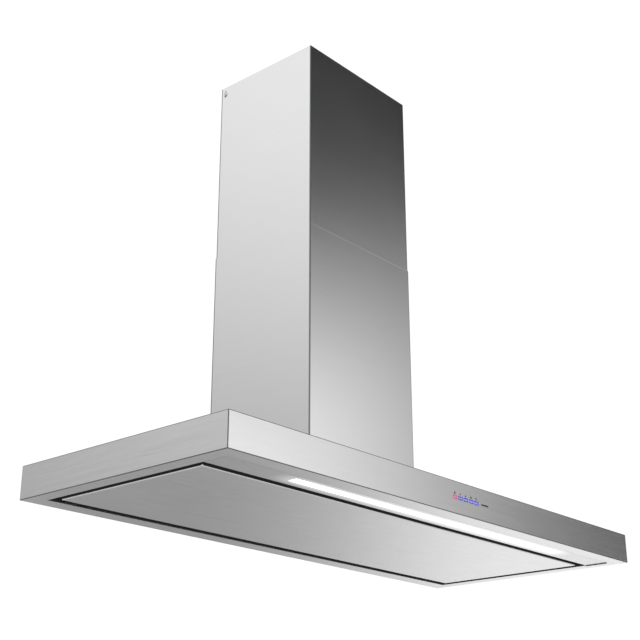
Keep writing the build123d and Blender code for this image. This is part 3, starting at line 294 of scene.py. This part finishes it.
def edge_share(net, low, high, width, upright):
    """1 on the edges of the box from low to high, 0 at width away from them.
    With upright, only on its upright edges."""
    gaps = []
    for axis in range(3):
        at = net.split(net.place)[axis]
        from_low = net.math("SUBTRACT", at, low[axis])
        from_high = net.math("SUBTRACT", high[axis], at)
        gaps.append(net.math("MINIMUM", from_low, from_high))
    a, b, c = gaps
    middle = net.math("MAXIMUM", a, b)
    if not upright:
        middle = net.math("MINIMUM", middle, c)
        middle = net.math("MAXIMUM", net.math("MINIMUM", a, b), middle)
    return net.smooth(middle, width * 0.55, width, 1.0, 0.0)


def brushed_steel(
    name, tone=0.72, rough=0.2, grain=1.0, mottle=0.5, line=None, glow=False, hem_highlight=None
):
    """Stainless sheet with its grain along X, and along Y on side faces.
    glow adds the light that the strip throws on the sheet beside it.
    line is (nodes, width, darkness, upright) of the painted shade lines along its outer
    edges and bends.
    hem_highlight is (node, width, gain) of the painted highlight along its front face's
    top edge."""
    material, net = new_material(name)
    facing = net.add("ShaderNodeTexCoord").outputs["Normal"]
    leaning = net.math("ABSOLUTE", net.split(facing)[0])
    side = net.math("GREATER_THAN", leaning, SIDE_FACING)
    x, y, z = net.split(net.place)
    along = net.blend(side, x, y)
    across = net.blend(side, y, x)

    def strokes(length, width, detail, rough_share):
        place = net.add(
            "ShaderNodeCombineXYZ",
            net.math("MULTIPLY", along, length),
            net.math("MULTIPLY", across, width),
            net.math("MULTIPLY", z, width),
        )
        return net.noise(place.outputs[0], 1.0, detail, rough_share)

    fine = strokes(9.0, 860.0, 2.0, 0.5)
    broad = strokes(3.0, 190.0, 3.0, 0.6)
    coarse = strokes(13.0, 96.0, 3.0, 0.65)
    cloud = net.noise(net.place, 4.0, 3.0)
    streak = net.math("MULTIPLY_ADD", broad, 0.45, net.math("MULTIPLY", fine, 0.55))

    value = net.math("MULTIPLY_ADD", streak, 0.14 * grain, tone - 0.07 * grain)
    value = net.math("MULTIPLY", value, net.math("MULTIPLY_ADD", cloud, 0.04, 0.98))
    patches = net.math("MULTIPLY_ADD", coarse, 0.2 * mottle, 1.0 - 0.1 * mottle)
    value = net.math("MULTIPLY", value, patches)
    # painted shade: dark lines along the outer edges and bends
    if line:
        nodes, width, darkness, upright = line
        boxes = [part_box(node) for node in nodes]
        low = [min(box[0][axis] for box in boxes) for axis in range(3)]
        high = [max(box[1][axis] for box in boxes) for axis in range(3)]
        edge = edge_share(net, low, high, width, upright)
        shade = net.math("MULTIPLY_ADD", edge, -darkness, 1.0)
        value = net.math("MULTIPLY", value, shade)
    # painted highlight: a bright line along the front face's top edge
    if hem_highlight:
        node, width, gain = hem_highlight
        from_top = net.math("SUBTRACT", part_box(node)[1].z, z)
        share = net.smooth(from_top, width * 0.6, width, 1.0, 0.0)
        share = net.math("MULTIPLY", share, net.math("SUBTRACT", 1.0, side))
        value = net.math("MULTIPLY", value, net.math("MULTIPLY_ADD", share, gain, 1.0))
    put(net, "Base Color", net.grey(value))
    put(net, "Metallic", 1.0)
    spread = net.math("MULTIPLY_ADD", streak, 0.10 * grain, rough - 0.05 * grain)
    put(net, "Roughness", net.math("MULTIPLY_ADD", cloud, 0.04, spread))
    put(net, "Anisotropic", 0.5)
    lay = net.add("ShaderNodeCombineXYZ", net.math("SUBTRACT", 1.0, side), side, 0.0)
    true_facing = net.add("ShaderNodeNewGeometry").outputs["Normal"]
    put(net, "Tangent", net.vector("CROSS_PRODUCT", true_facing, lay.outputs[0]))
    put(net, "Normal", net.bump(streak, 0.00005 * grain, 0.3))
    if glow:
        from_line = net.math("ABSOLUTE", net.math("SUBTRACT", y, LED_Y))
        near = net.smooth(from_line, *GLOW_FADE, 1.0, 0.0)
        ends = [LED_HALF + part for part in GLOW_ENDS]
        within = net.smooth(net.math("ABSOLUTE", x), *ends, 1.0, 0.0)
        below = net.smooth(z, 0.0, GLOW_DEPTH, 1.0, 0.0)
        lit = net.math("MULTIPLY", net.math("MULTIPLY", near, within), below)
        put(net, "Emission Color", (1.0, 0.99, 0.97, 1.0))
        put(net, "Emission Strength", net.math("MULTIPLY", lit, GLOW_STRENGTH))
    return material


def galvanised():
    """Zinc-coated sheet with its pattern of crystals."""
    material, net = new_material("galvanised_steel")
    cells = net.add("ShaderNodeTexVoronoi")
    bent = net.vector(
        "ADD",
        net.place,
        net.vector("SCALE", net.add("ShaderNodeTexNoise", net.place).outputs["Color"]),
    )
    net.feed(cells.inputs["Vector"], bent)
    cells.inputs["Scale"].default_value = 85.0
    tone = net.split(cells.outputs["Color"])[0]
    value = net.math("MULTIPLY_ADD", tone, 0.16, 0.46)
    cool = net.add(
        "ShaderNodeCombineColor",
        net.math("MULTIPLY", value, 0.97),
        value,
        net.math("MULTIPLY", value, 1.03),
    ).outputs[0]
    put(net, "Base Color", cool)
    put(net, "Metallic", 0.9)
    put(net, "Roughness", net.math("MULTIPLY_ADD", tone, 0.16, 0.34))
    put(net, "Normal", net.bump(net.noise(net.place, 260.0, 3.0), 0.0001, 0.4))
    return material


def coated(name, colour, rough=0.5, pits=900.0, depth=0.00008, sheen_spread=0.08):
    """Paint or plastic: a fine moulded texture and a little unevenness."""
    material, net = new_material(name)
    cloud = net.noise(net.place, 24.0, 3.0)
    darker = tuple(c * 0.86 for c in colour)
    lighter = tuple(min(1.0, c * 1.12) for c in colour)
    put(net, "Base Color", net.tint(cloud, darker, lighter))
    put(net, "Roughness", net.math("MULTIPLY_ADD", cloud, sheen_spread, rough))
    put(net, "Normal", net.bump(net.noise(net.place, pits, 2.0), depth, 0.5))
    return material


def plain_metal(name, colour, rough=0.25, marks=0.1, scale=180.0):
    """Turned, plated or cast metal with faint marks."""
    material, net = new_material(name)
    cloud = net.noise(net.place, scale, 3.0)
    darker = tuple(c * (1.0 - marks) for c in colour)
    put(net, "Base Color", net.tint(cloud, darker, colour))
    put(net, "Metallic", 1.0)
    put(net, "Roughness", net.math("MULTIPLY_ADD", cloud, 0.12, rough))
    put(net, "Normal", net.bump(cloud, 0.00004, 0.4))
    return material


def lit_plastic(name, colour, strength, rim):
    """Milky plastic with light behind it, its glow unevenly a little dimmer in places.
    """
    material, net = new_material(name)
    cloud = net.noise(net.place, 60.0, 2.0)
    put(net, "Base Color", net.tint(cloud, tuple(c * 0.92 for c in colour), colour))
    put(net, "Roughness", net.math("MULTIPLY_ADD", cloud, 0.06, 0.45))
    put(net, "Specular IOR Level", 0.2)
    put(net, "Emission Color", (*colour, 1.0))
    level = net.math("MULTIPLY_ADD", cloud, rim, strength - rim)
    put(net, "Emission Strength", level)
    return material


def board():
    """Green circuit board with faint tracks."""
    material, net = new_material("circuit_board")
    tracks = net.add("ShaderNodeTexBrick")
    net.feed(tracks.inputs["Vector"], net.place)
    tracks.inputs["Scale"].default_value = 190.0
    tracks.inputs["Mortar Size"].default_value = 0.06
    colour = net.tint(tracks.outputs["Fac"], (0.03, 0.2, 0.09), (0.09, 0.34, 0.15))
    put(net, "Base Color", colour)
    put(net, "Roughness", net.math("MULTIPLY_ADD", tracks.outputs["Fac"], 0.1, 0.3))
    put(net, "Normal", net.bump(tracks.outputs["Fac"], 0.00005, 0.5))
    return material


def windings():
    """Copper wire, turn beside turn."""
    material, net = new_material("copper")
    turns = net.add("ShaderNodeTexWave", bands_direction="DIAGONAL")
    net.feed(turns.inputs["Vector"], net.place)
    turns.inputs["Scale"].default_value = 320.0
    turns.inputs["Distortion"].default_value = 2.0
    share = turns.outputs["Fac"]
    put(net, "Base Color", net.tint(share, (0.36, 0.16, 0.07), (0.78, 0.42, 0.2)))
    put(net, "Metallic", 0.8)
    put(net, "Roughness", net.math("MULTIPLY_ADD", share, 0.1, 0.28))
    put(net, "Normal", net.bump(share, 0.0002, 0.6))
    return material


def make_materials():
    """One look for each material slot, and a few for single nodes."""
    made = {
        "brushed_steel": brushed_steel("brushed_steel"),
        "galvanised_steel": galvanised(),
        "black_sheet": coated("black_sheet", (0.018, 0.018, 0.02), 0.45, 700.0),
        "aluminium": plain_metal("aluminium", (0.78, 0.79, 0.80), 0.30),
        "filter_mesh": plain_metal("filter_mesh", (0.62, 0.63, 0.65), 0.34, 0.3, 420.0),
        "lamp_diffuser": lit_plastic("lamp_diffuser", (1.0, 0.995, 0.98), 2.4, 0.1),
        "ring_red": lit_plastic("ring_red", (0.72, 0.03, 0.10), 0.7, 0.1),
        "ring_blue": lit_plastic("ring_blue", (0.035, 0.03, 0.72), 0.65, 0.1),
        "button_cap": plain_metal("button_cap", (0.66, 0.66, 0.67), 0.3, 0.08, 900.0),
        "dark_window": coated("dark_window", (0.03, 0.03, 0.035), 0.1, 300.0, 0.00001),
        "black_plastic": coated("black_plastic", (0.035, 0.035, 0.037), 0.48),
        "grey_plastic": coated("grey_plastic", (0.40, 0.41, 0.42), 0.5),
        "white_plastic": coated("white_plastic", (0.84, 0.84, 0.82), 0.36),
        "circuit_board": board(),
        "zinc": plain_metal("zinc", (0.70, 0.71, 0.74), 0.2),
        "magnet": coated("magnet", (0.11, 0.11, 0.115), 0.5, 1200.0),
        "copper": windings(),
        "shaft_steel": plain_metal("shaft_steel", (0.68, 0.68, 0.70), 0.16),
        "rubber": coated("rubber", (0.025, 0.025, 0.025), 0.7, 1500.0),
    }
    canopy = ("canopy_shell", "canopy_top")
    # the canopy gets painted shade lines on all its outer edges
    canopy_steel = brushed_steel(
        "canopy_steel", tone=0.735, mottle=0.35, line=(canopy, 0.0017, 0.8, False)
    )
    own = {
        "canopy_shell": canopy_steel,
        "canopy_top": canopy_steel,
        "light_panel": brushed_steel("lit_panel_steel", tone=0.675, glow=True),
        "suction_panel": brushed_steel("panel_steel", tone=0.73, mottle=1.3),
    }
    black_zinc = plain_metal("black_zinc", (0.05, 0.05, 0.055), 0.4)
    own["hinge_brackets"] = own["panel_hinge_arms"] = black_zinc
    for cover in ("lower_cover", "upper_cover"):
        # each cover gets painted shade lines on its upright corners
        own[cover] = brushed_steel(
            cover + "_steel",
            rough=0.15,
            grain=0.35,
            mottle=0.06,
            line=((cover,), 0.0030, 0.72, True),
            hem_highlight=(cover, 0.0026, 0.19) if cover == "lower_cover" else None,
        )
    for row in frame["record"]["subparts"]:
        node = frame["nodes"][row["node"]]
        chosen = own.get(row["node"]) or made[row["material_slot"]]
        for place in node.material_slots:
            place.material = chosen
    return made


# ---------------------------------------------------------------- pieces


def add_piece(name, shape, material, body):
    mesh = bpy.data.meshes.new(name)
    bmesh.ops.recalc_face_normals(shape, faces=shape.faces)
    shape.to_mesh(mesh)
    shape.free()
    mesh.materials.append(material)
    piece = bpy.data.objects.new(name, mesh)
    scene.collection.objects.link(piece)
    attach(piece, body)
    return piece


def prism(shape, outline, start, end, plane):
    """A plate with an outline of 2-D points, from start to end along the axis
    that stands on the plane."""
    place = {
        "xz": lambda a, b, h: (a, h, b),
        "xy": lambda a, b, h: (a, b, h),
    }[plane]
    first = [shape.verts.new(place(a, b, start)) for a, b in outline]
    second = [shape.verts.new(place(a, b, end)) for a, b in outline]
    shape.faces.new(first)
    shape.faces.new(second[::-1])
    count = len(outline)
    for i in range(count):
        j = (i + 1) % count
        shape.faces.new((first[i], second[i], second[j], first[j]))


def arc(centre, radius, start, end, steps):
    """Points round a centre, between two angles in radians."""
    return [
        (
            centre[0] + radius * math.cos(start + (end - start) * i / steps),
            centre[1] + radius * math.sin(start + (end - start) * i / steps),
        )
        for i in range(steps + 1)
    ]


RING_STEPS = 20


def ring_band(shape, centre, inner, outer, start, end, low, high):
    """Part of a flat ring between two angles, as one plate."""
    inside = arc(centre, inner, start, end, RING_STEPS)
    outside = arc(centre, outer, start, end, RING_STEPS)
    prism(shape, outside + inside[::-1], low, high, "xz")


def bar(shape, centre, width, height, low, high):
    """A small rectangle on the front face."""
    x, z = centre
    w, h = width / 2.0, height / 2.0
    outline = [(x - w, z - h), (x + w, z - h), (x + w, z + h), (x - w, z + h)]
    prism(shape, outline, low, high, "xz")


def slab(shape, x0, y0, x1, y1, low, high):
    """A rectangle seen from above, from one height to another."""
    outline = [(x0, y0), (x1, y0), (x1, y1), (x0, y1)]
    prism(shape, outline, low, high, "xy")


BUTTON_X = (-0.0312, -0.01445, 0.0023, 0.01905, 0.0358)
ICON_Z = 0.0372
ICON_PROUD = 0.00012
FRONT_Y = -0.25


def make_icons(made):
    """Five generic pictograms: power, slower, faster, timer and lamp."""
    shape = bmesh.new()
    low, high = FRONT_Y, FRONT_Y - ICON_PROUD
    turn = math.pi
    size = 0.0022
    thin = 0.0013
    power, less, more, timer, lamp = [(x, ICON_Z) for x in BUTTON_X]
    ring_band(shape, power, size - thin, size, turn * 0.66, turn * 2.34, low, high)
    bar(shape, (power[0], ICON_Z + size * 0.6), thin, size * 1.1, low, high)
    for (x, z), way in ((less, -1.0), (more, 1.0)):
        tip = (x, z + way * size)
        foot = z - way * size * 0.7
        prism(shape, [tip, (x - size, foot), (x + size, foot)], low, high, "xz")
    ring_band(shape, timer, size - thin, size, 0.0, turn * 1.995, low, high)
    bar(shape, (timer[0], ICON_Z + size * 0.3), thin * 0.8, size * 0.6, low, high)
    bulb = arc((lamp[0], ICON_Z + size * 0.3), size * 0.8, 0.0, turn * 1.9, 18)
    prism(shape, bulb, low, high, "xz")
    bar(shape, (lamp[0], ICON_Z - size * 0.85), size * 0.7, thin * 0.9, low, high)
    add_piece("button_icons", shape, made["black_plastic"], "canopy")


def make_rim_seam_shade(made):
    """Dark strip in the joint of the light panel's right end with the rim: a painted
    shade line at the seam.
    """
    low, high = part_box("light_panel")
    half, proud, lift, inset = 0.0005, 0.0014, 0.00002, 0.0005
    x = high.x + half / 2.0
    shape = bmesh.new()
    slab(shape, x - half, low.y + inset, x + half, high.y, -proud, -lift)
    add_piece("rim_seam_shade", shape, made["black_sheet"], "canopy")


LATCH_TRAVEL = 0.006


def make_lattice(made, side):
    """The expanded aluminium face of a grease filter."""
    low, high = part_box("grease_filter_mesh_" + side)
    pitch_x, pitch_y = 0.0082, 0.0052
    strand, thick = 0.0009, 0.0006
    inset = 0.004
    x0, x1 = low.x + inset, high.x - inset
    latch_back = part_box("filter_latch_" + side)[1].y + LATCH_TRAVEL
    y0, y1 = latch_back + 0.001, high.y - inset
    columns = int((x1 - x0) / (pitch_x / 2.0))
    rows = int((y1 - y0) / (pitch_y / 2.0))
    top = low.z - 0.0002
    shape = bmesh.new()
    for row in range(rows):
        y = y0 + (row + 0.5) * pitch_y / 2.0
        swing = pitch_y / 4.0
        rings = []
        for column in range(columns + 1):
            x = x0 + column * pitch_x / 2.0
            up = 1.0 if (column + row) % 2 else -1.0
            middle = y + up * (swing - strand / 4.0)
            tilt = up * thick * 0.7
            rings.append(
                [
                    shape.verts.new((x, middle + strand / 2.0, top + tilt)),
                    shape.verts.new((x, middle - strand / 2.0, top - tilt)),
                    shape.verts.new((x, middle - strand / 2.0, top - thick - tilt)),
                    shape.verts.new((x, middle + strand / 2.0, top - thick + tilt)),
                ]
            )
        for first, second in zip(rings, rings[1:]):
            for i in range(4):
                j = (i + 1) % 4
                shape.faces.new((first[i], first[j], second[j], second[i]))
        shape.faces.new(rings[0])
        shape.faces.new(rings[-1][::-1])
    name = "filter_lattice_" + side
    add_piece(name, shape, made["filter_mesh"], "canopy")


def make_panel_gap_shade(made):
    """Black strip round the suction panel's upturned wall: painted shade that makes the
    gap round the panel dark.
    """
    low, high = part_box("suction_panel")
    arm_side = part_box("panel_hinge_arms")[1].x
    strip, bottom, top = 0.0006, low.z + 0.0011, high.z - 0.0004
    corner = 0.003
    notch_out, notch_in = arm_side + 0.003, arm_side - 0.009 - 0.006
    left, right = low.x + corner, high.x - corner
    front, rear = low.y + corner, high.y - corner
    shape = bmesh.new()
    slab(shape, low.x - strip, front, low.x, rear, bottom, top)
    slab(shape, high.x, front, high.x + strip, rear, bottom, top)
    slab(shape, left, low.y - strip, right, low.y, bottom, top)
    for x0, x1 in ((left, -notch_out), (-notch_in, notch_in), (notch_out, right)):
        slab(shape, x0, high.y, x1, high.y + strip, bottom, top)
    add_piece("panel_gap_shade", shape, made["rubber"], "suction_panel")


REAR_RIM = 0.037  # canopy's rear face to the opening
RIM_BOTTOM = 0.0012
RIM_TOP = 0.0096
HINGE_CLEAR = 0.022  # kept free to both sides of a hinge arm's outer face


def make_rim_gap_shade(made):
    """Black strip on the rim's upturned edge, round the suction panel's gap: painted
    shade that makes the gap dark.
    """
    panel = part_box("light_panel")[1]
    arm_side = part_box("panel_hinge_arms")[1].x
    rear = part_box("canopy_shell")[1].y - REAR_RIM
    side = panel.x + 0.0004
    strip, short, shorter = 0.0005, 0.001, 0.002
    heights = (RIM_BOTTOM, RIM_TOP)
    shape = bmesh.new()
    slab(shape, -side, panel.y + short, -side + strip, rear - short, *heights)
    slab(shape, side - strip, panel.y + short, side, rear - short, *heights)
    hinge_out, hinge_in = arm_side + HINGE_CLEAR, arm_side - HINGE_CLEAR
    for x0, x1 in (
        (-side + short, -hinge_out),
        (-hinge_in, hinge_in),
        (hinge_out, side - short),
    ):
        slab(shape, x0, rear - strip, x1, rear, *heights)
    slab(shape, -side + shorter, panel.y, side - shorter, panel.y + strip, *heights)
    add_piece("rim_gap_shade", shape, made["rubber"], "canopy")


make_world()
make_floor()
make_lights()
made = make_materials()
make_icons(made)
make_panel_gap_shade(made)
make_rim_seam_shade(made)
make_rim_gap_shade(made)
for side in ("left", "right"):
    make_lattice(made, side)
